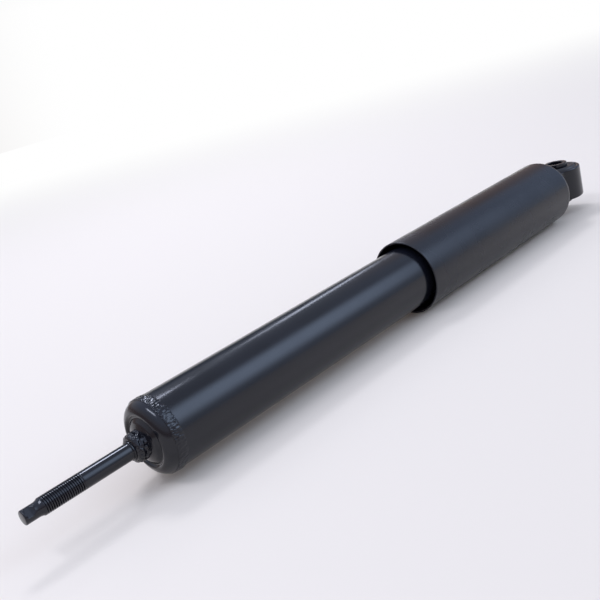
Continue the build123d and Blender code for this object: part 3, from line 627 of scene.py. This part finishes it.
# %% [markdown]
# Thread and flats
#
# Each vertex of the threaded part is sunk by the depth that the thread has there, and each vertex
# beyond the flats is brought in to them. The crests are plain bands with an edge, so the mesh is
# smoothed by angle once more after the cut.

# %% Cut the thread and mill the flats
THREAD_DEPTH = 0.92
CREST_SHARE = 0.52
ROOT_SHARE = 0.12
FLAT_HALF = 3.5
FLAT_ANGLE = math.radians(135)
FLAT_END = 8.0
CUTTER_R = 3.0


def thread_sink(x, angle):
    """How deep the thread is at a place along the stem, from 0 on a crest to 1 at the root."""
    turns = (x - thread_start) / THREAD_PITCH - angle / (2 * math.pi)
    height = abs(2 * (turns % 1) - 1)
    return min(max((height - CREST_SHARE) / (1 - CREST_SHARE - ROOT_SHARE), 0), 1)


flat_normal = Vector((0, math.cos(FLAT_ANGLE), math.sin(FLAT_ANGLE)))
for vertex in stem.data.vertices:
    x, y, z = vertex.co / MM
    if thread_start < x < thread_end:
        radius = math.hypot(y, z)
        run_in = min((x - thread_start) / THREAD_PITCH, (thread_end - x) / THREAD_PITCH, 1)
        sunk = radius - THREAD_DEPTH * run_in * thread_sink(x, math.atan2(z, y))
        vertex.co.y *= sunk / radius
        vertex.co.z *= sunk / radius
    into = x - tip_x
    if TIP_LIP < into < FLAT_END:
        run_out = max(into - (FLAT_END - CUTTER_R), 0)
        limit = FLAT_HALF + CUTTER_R - math.sqrt(CUTTER_R ** 2 - min(run_out, CUTTER_R) ** 2)
        side = vertex.co.dot(flat_normal) / MM
        if abs(side) > limit:
            vertex.co -= flat_normal * (abs(side) - limit) * math.copysign(MM, side)
stem.data.update()
select_only(stem)
smooth_by_angle()
dress(stem, thread_enamel, "cylinder", "paint", "mounting_stem")

# %% [markdown]
# The bead round the stem's root
#
# This bead is the roughest spot on the damper. Its front is round and heavy, and it lies on the
# stem's collar, whose edge stands out of it as a smooth dark ring.

# %% Lay the stem's bead
ROOT_SINK = 0.3
ROOT_MARGIN = 0.3
ROOT_FRONT = 0.4
ROOT_RINGS = 12

root_x = weld_low.x + ROOT_FRONT
root_r = weld_high.z - ROOT_MARGIN
front = root_r - COLLAR_R
root_profile = [(root_x, COLLAR_R - ROOT_SINK)]
root_profile += arc(root_x + front, COLLAR_R, front, 180, 90, steps=14)
root_end = root_profile[-1][0]
root_profile += [(root_end + (weld_high.x - root_end) * i / ROOT_RINGS, root_r)
                 for i in range(1, ROOT_RINGS + 1)]
root_profile += [(weld_high.x, COLLAR_R - ROOT_SINK), root_profile[0]]
stem_bead = lathe("stem_bead", root_profile, sides=260)
ripple(stem_bead, pitch=3.4, height=0.30, lump_mm=2.3, lump_height=0.75, rough=0.30)
dress(stem_bead, weld_enamel, "cylinder", "paint", "stem_weld")

# %% [markdown]
# The dust cover
#
# The cover is drawn from one sheet, with a domed end. Its crown is an arc about the axis and runs
# tangent into the shoulder's arc. The open end is trimmed and its edge tumbled round, and that
# small rounding is what draws the thin bright line round the mouth.

# %% Turn the dust cover
COVER_WALL = 1.6
END_DEPTH = 15.6
SHOULDER_R = 8.6
SHOULDER_STEPS = 10
CROWN_STEPS = 12
MOUTH_EDGE = 0.7
POLE_R = 0.8

cover_low, cover_high = span("dust_cover")
cover_r = cover_high.z
crown_x = cover_high.x
end_x = crown_x - END_DEPTH
crown_angle = 2 * math.atan((END_DEPTH - SHOULDER_R) / (cover_r - SHOULDER_R))
crown_r = SHOULDER_R + (cover_r - SHOULDER_R) / math.sin(crown_angle)


def cover_end(inset):
    """The end from shoulder to pole, outside, or inside where inset is the wall."""
    shoulder = arc(end_x, cover_r - SHOULDER_R, SHOULDER_R - inset, 90, math.degrees(crown_angle),
                   SHOULDER_STEPS)
    pole_angle = math.degrees(math.asin(POLE_R / (crown_r - inset)))
    crown = arc(crown_x - crown_r, 0, crown_r - inset, math.degrees(crown_angle), pole_angle,
                CROWN_STEPS)
    return shoulder + crown[1:]


mouth_x = cover_low.x + MOUTH_EDGE
cover_profile = arc(mouth_x, cover_r - MOUTH_EDGE, MOUTH_EDGE, 180, 90, steps=4)
cover_profile += cover_end(0) + cover_end(COVER_WALL)[::-1]
cover_profile += arc(mouth_x, cover_r - COVER_WALL + MOUTH_EDGE, MOUTH_EDGE, 270, 180, steps=4)
cover_profile += [cover_profile[0]]
cover = lathe("cover", cover_profile, sides=LARGE_SIDES)

# %% [markdown]
# The pole
#
# A ring that is resized to nothing can't grow again, so the lathe leaves a small hole at the
# crown's pole. Merging the ring at each end of that hole, outside and inside, closes it and leaves
# one loose edge between the two poles, which is deleted.

# %% Close the cover's pole
POLE_REACH = 0.1


def close_pole(piece, pole_x):
    """Merges the ring round the X axis at pole_x to one vertex."""
    bpy.ops.object.mode_set(mode="EDIT")
    bpy.ops.mesh.select_all(action="DESELECT")
    bpy.ops.object.mode_set(mode="OBJECT")
    for vertex in piece.data.vertices:
        x, y, z = vertex.co / MM
        is_near = abs(x - pole_x) < POLE_REACH
        vertex.select = is_near and math.hypot(y, z) < POLE_R + POLE_REACH
    bpy.ops.object.mode_set(mode="EDIT")
    bpy.ops.mesh.merge(type="CENTER")


select_only(cover)
close_pole(cover, crown_x)
close_pole(cover, crown_x - COVER_WALL)
bpy.ops.mesh.select_all(action="SELECT")
bpy.ops.mesh.delete_loose()
finish_mesh(cover)
dress(cover, cover_enamel, "upper", "paint", "dust_cover")

# %% [markdown]
# The eye
#
# The eye is a short length of thick tube, parted off with small rounded edges and welded across the
# crown. The rubber bush is pressed into it and bulges past both faces, and its steel sleeve stands
# out furthest, because the bracket clamps on the sleeve alone. Each of the three is the same above
# and below its middle, so only half of its profile is drawn.

# %% Turn the eye
EYE_WALL = 4.3
EYE_EDGE = 1.8

eye_high = span("eye_ring")[1]
eye_r, half_eye = eye_high.y, eye_high.z
eye_points = [(0, eye_r), (half_eye, eye_r), (half_eye, eye_r - EYE_WALL), (0, eye_r - EYE_WALL)]
eye_profile = both_halves(rounded(eye_points, [EYE_EDGE, EYE_EDGE]))
eye = lathe("eye", eye_profile, sides=160, axis="Z")
dress(eye, pressed_enamel, "upper", "paint", "eye_ring")

# %% Mould the rubber
SLEEVE_R = 12.0
SLEEVE_GAP = 0.06
EYE_GAP = 0.02
RUBBER_IN_EYE = 1.2
RUBBER_BULGE = [(0.7, 1.0), (0.0, 3.4)]
RUBBER_HOLLOW = (0.5, 1.6)
RUBBER_LIP = 0.9
RUBBER_RADII = [0.5, 1.2, 1.6, 1.0, 0.1]

rubber_high = span("bush_rubber")[1]
half_rubber = rubber_high.z
rubber_r = rubber_high.y - EYE_GAP
bore_r = SLEEVE_R + SLEEVE_GAP
rubber_points = [(0, rubber_r), (half_eye - RUBBER_IN_EYE, rubber_r)]
rubber_points += [(half_rubber - depth, rubber_r - inwards) for depth, inwards in RUBBER_BULGE]
rubber_points += [(half_rubber - RUBBER_HOLLOW[0], SLEEVE_R + RUBBER_HOLLOW[1]),
                  (half_rubber - RUBBER_LIP, bore_r), (0, bore_r)]
rubber_profile = both_halves(rounded(rubber_points, RUBBER_RADII, steps=4))
rubber = lathe("rubber", rubber_profile, sides=128, axis="Z")
dress(rubber, painted_rubber, "upper", "bush_rubber", "bush_rubber")

# %% Turn the sleeve
SLEEVE_BORE_R = 8.0
SLEEVE_EDGE = 0.6

half_sleeve = span("bush_sleeve")[1].z
sleeve_points = [(0, SLEEVE_R), (half_sleeve, SLEEVE_R), (half_sleeve, SLEEVE_BORE_R),
                 (0, SLEEVE_BORE_R)]
sleeve_profile = both_halves(rounded(sleeve_points, [SLEEVE_EDGE, SLEEVE_EDGE], steps=4))
sleeve = lathe("sleeve", sleeve_profile, sides=96, axis="Z")
dress(sleeve, pressed_enamel, "bush", "paint", "bush_sleeve")

# %% [markdown]
# The weld that holds the eye
#
# The weld fills the hollow between the eye and the crown and is too irregular for the lathe. A copy
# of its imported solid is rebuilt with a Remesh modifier, softened with Smooth, and made lumpy with
# Displace, which is how a sculptor would start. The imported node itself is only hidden.

# %% Model the eye's weld
SOLID_DOUBLED = 0.01
VOXEL = 0.55
SMOOTH_PASSES = 6
LUMPS_MM = 3.0
LUMP_HEIGHT = 0.7

packed_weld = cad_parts["eye_weld"]
eye_bead = bpy.data.objects.new("eye_bead", packed_weld.data.copy())
bpy.context.scene.collection.objects.link(eye_bead)
select_only(eye_bead)
bpy.ops.object.mode_set(mode="EDIT")
bpy.ops.mesh.select_all(action="SELECT")
bpy.ops.mesh.remove_doubles(threshold=SOLID_DOUBLED * MM)
bpy.ops.object.mode_set(mode="OBJECT")
lumps = bpy.data.textures.new("weld_lumps", "CLOUDS")
lumps.noise_scale = LUMPS_MM * MM
rebuild = eye_bead.modifiers.new("rebuild", "REMESH")
rebuild.mode = "VOXEL"
rebuild.voxel_size = VOXEL * MM
soften = eye_bead.modifiers.new("soften", "SMOOTH")
soften.iterations = SMOOTH_PASSES
lump = eye_bead.modifiers.new("lump", "DISPLACE")
lump.texture = lumps
lump.texture_coords = "LOCAL"
lump.strength = LUMP_HEIGHT * MM
lump.mid_level = 0.5
for modifier in list(eye_bead.modifiers):
    bpy.ops.object.modifier_apply(modifier=modifier.name)
bpy.ops.object.shade_smooth()
dress(eye_bead, weld_enamel, "upper", "paint", "eye_weld")

# %% [markdown]
# The cone springs
#
# Two light cone springs, deep inside, hold the check plates on their seats. Their narrow end rests
# on a ring or a bolt's head and their wide end on the plate, so a lifting plate presses the cone
# flatter.

# %% Turn the cone springs
SPRING_WALL = 0.4
SPRING_NARROW_R = 7.4
CONES = [("check_cone", "upper", "check_spring", "check_lift", 1.2),
         ("intake_cone", "cylinder", "intake_spring", "intake_lift", 1.5)]

for name, body, node, joint, lift in CONES:
    cone_low, cone_high = span(node)
    wide_r = cone_high.z - SPRING_WALL
    cone_profile = [(cone_high.x, SPRING_NARROW_R), (cone_high.x, SPRING_NARROW_R + SPRING_WALL),
                    (cone_low.x, wide_r + SPRING_WALL), (cone_low.x, wide_r),
                    (cone_high.x, SPRING_NARROW_R)]
    cone = lathe(name, cone_profile, sides=96)
    dress(cone, spring_steel, body, "spring_steel", node)
    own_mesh(cone)

# %% [markdown]
# The studio
#
# Gloss black shows little but reflections, so the room is part of the finish. A tube mirrors what
# stands round its axis in bands along its length, so the room is painted by the angle round that
# axis: from the white backdrop over a dark gap, the far wall and the ceiling to the wall on the
# camera's side. A wide soft window stands in that wall, about 45 degrees up, and beyond it the wall
# is plain. Behind the camera the room is painted by height instead: brown up to the eye, then pale.
# The three paints blend along the axis.

# %% Choose the paints
ROOM_COLOURS = {
    "backdrop": linear("#FFFFFF"),
    "gap": linear("#5A6270"),
    "wall": linear("#BCC6D8"),
    "window": linear("#C6DAFA", 4.3),
    "side": linear("#CBDAF3"),
    "brown": linear("#A49390"),
    "plain": linear("#C4D8FC", 0.9),
    "end": linear("#D0D0DC"),
    "ceiling": linear("#CAD6F2", 1.2),
}
HORIZON = [(-180, "backdrop"), (8, "backdrop")]
CAMERA_END = [(-90, "brown"), (8, "brown"), (18, "end"), (45, "ceiling"), (90, "ceiling")]
BESIDE_WINDOW = HORIZON + [(12, "gap"), (24, "gap"), (42, "wall"), (105, "wall"), (131, "window"),
                           (143, "window"), (172, "side"), (180, "side")]
BEYOND_WINDOW = HORIZON + [(12, "brown"), (55, "brown"), (92, "plain"), (148, "plain"),
                           (180, "side")]
BLENDS = [(0.05, 0.50), (0.65, 0.79)]
print("paints:", ", ".join(ROOM_COLOURS))

# %% Paint the room
def ring_of_paint(tree, angle, rings):
    """A colour ramp over an angle in radians, from (degrees, colour name) pairs."""
    share = add_node(tree, "ShaderNodeMapRange", Value=angle, From_Min=-math.pi, From_Max=math.pi)
    ramp = add_node(tree, "ShaderNodeValToRGB", Fac=share.outputs["Result"])
    ramp.color_ramp.interpolation = "EASE"
    stops = ramp.color_ramp.elements
    while len(stops) < len(rings):
        stops.new(0.5)
    for stop, (degrees, _) in zip(stops, rings):
        stop.position = (degrees + 180) / 360
    for stop, (_, paint) in zip(stops, rings):
        stop.color = ROOM_COLOURS[paint]
    return ramp.outputs["Color"]


world = bpy.data.worlds.new("room")
bpy.context.scene.world = world
world.use_nodes = True
sky = world.node_tree
direction = sky.nodes.new("ShaderNodeTexCoord").outputs["Generated"]
parts = add_node(sky, "ShaderNodeSeparateXYZ", Vector=direction)
turn = add_node(sky, "ShaderNodeMath", {"operation": "ARCTAN2"}, i0=parts.outputs["Z"],
                i1=parts.outputs["Y"])
rise = add_node(sky, "ShaderNodeMath", {"operation": "ARCSINE"}, i0=parts.outputs["Z"])
room = ring_of_paint(sky, rise.outputs[0], CAMERA_END)
for (first, last), rings in zip(BLENDS, (BESIDE_WINDOW, BEYOND_WINDOW)):
    along = add_node(sky, "ShaderNodeMapRange", {"interpolation_type": "SMOOTHSTEP"},
                     Value=parts.outputs["X"], From_Min=first, From_Max=last)
    joined = add_node(sky, "ShaderNodeMix", {"data_type": "RGBA"}, Factor=along.outputs["Result"],
                      i6=room, i7=ring_of_paint(sky, turn.outputs[0], rings))
    room = joined.outputs[2]
sky.links.new(room, sky.nodes["Background"].inputs["Color"])
print("nodes in the room's paint:", len(sky.nodes))

# %% [markdown]
# The floor
#
# The damper lies on its dust cover on a warm pale floor, which shows its shadow. Further out the
# floor glows up to the backdrop's white, as a paper sweep does under its own lamps, so no edge
# shows.

# %% Lay the floor
FLOOR_Z = -cover_r * MM
FLOOR_X = -0.3
FLOOR_SIZE = 12.0
SWEEP_STARTS, SWEEP_ENDS = 0.5, 2.6

clear_selection()
bpy.ops.mesh.primitive_plane_add(size=FLOOR_SIZE, location=(FLOOR_X, 0, FLOOR_Z))
floor = bpy.context.object
floor.name = "floor"
floor_material, floor_tree, floor_shader, floor_place = start_material("pale_floor")
floor_tree.nodes.remove(floor_shader)
away = add_node(floor_tree, "ShaderNodeVectorMath", {"operation": "DOT_PRODUCT"}, i0=floor_place,
                i1=(CAMERA_FORWARD.x, CAMERA_FORWARD.y, 0))
sweep = add_node(floor_tree, "ShaderNodeMapRange", {"interpolation_type": "SMOOTHSTEP"},
                 Value=away.outputs["Value"], From_Min=SWEEP_STARTS, From_Max=SWEEP_ENDS)
matt = add_node(floor_tree, "ShaderNodeBsdfDiffuse", Color=linear("#ECDFCE"))
glow = add_node(floor_tree, "ShaderNodeEmission", Color=linear("#FFFFFF"), Strength=1.0)
both = add_node(floor_tree, "ShaderNodeMixShader", i0=sweep.outputs["Result"],
                i1=matt.outputs[0], i2=glow.outputs[0])
floor_tree.links.new(both.outputs[0], floor_tree.nodes["Material Output"].inputs["Surface"])
floor.data.materials.append(floor_material)
print("floor at", round(FLOOR_Z / MM, 1), "mm")

# %% [markdown]
# The lamps
#
# Three flat lamps hang under the ceiling. Each is seen in the gloss as well: the long one draws the
# thin line along the tube, the near one the line along the stem, and the one behind the camera the
# small crescents on the cup and the bright edge of the cover's mouth. A flat lamp's power is pi
# times its area and radiance.

# %% Hang the lamps
CEILING = 1.5
LAMP_TURN = 33.8
LAMP_COLOUR = linear("#E2E9FF")[:3]


def hang_lamp(name, x, y, length, width, turned, radiance):
    """Hangs a flat lamp over a place, in metres, its length turned from X in degrees."""
    light = bpy.data.lights.new(name, "AREA")
    light.shape = "RECTANGLE"
    light.size, light.size_y = length, width
    light.energy = math.pi * length * width * radiance
    light.color = LAMP_COLOUR
    lamp = bpy.data.objects.new(name, light)
    bpy.context.scene.collection.objects.link(lamp)
    lamp.location = (x, y, CEILING)
    lamp.rotation_euler = (0, 0, math.radians(turned))
    print(name, "gives", round(light.energy, 1), "W")


hang_lamp("long_lamp", x=1.66, y=1.87, length=1.70, width=0.26, turned=LAMP_TURN, radiance=5)
hang_lamp("near_lamp", x=0.06, y=0.83, length=0.40, width=0.42, turned=LAMP_TURN, radiance=17)
hang_lamp("end_lamp", x=-1.27, y=0.03, length=0.90, width=0.26, turned=90, radiance=11)
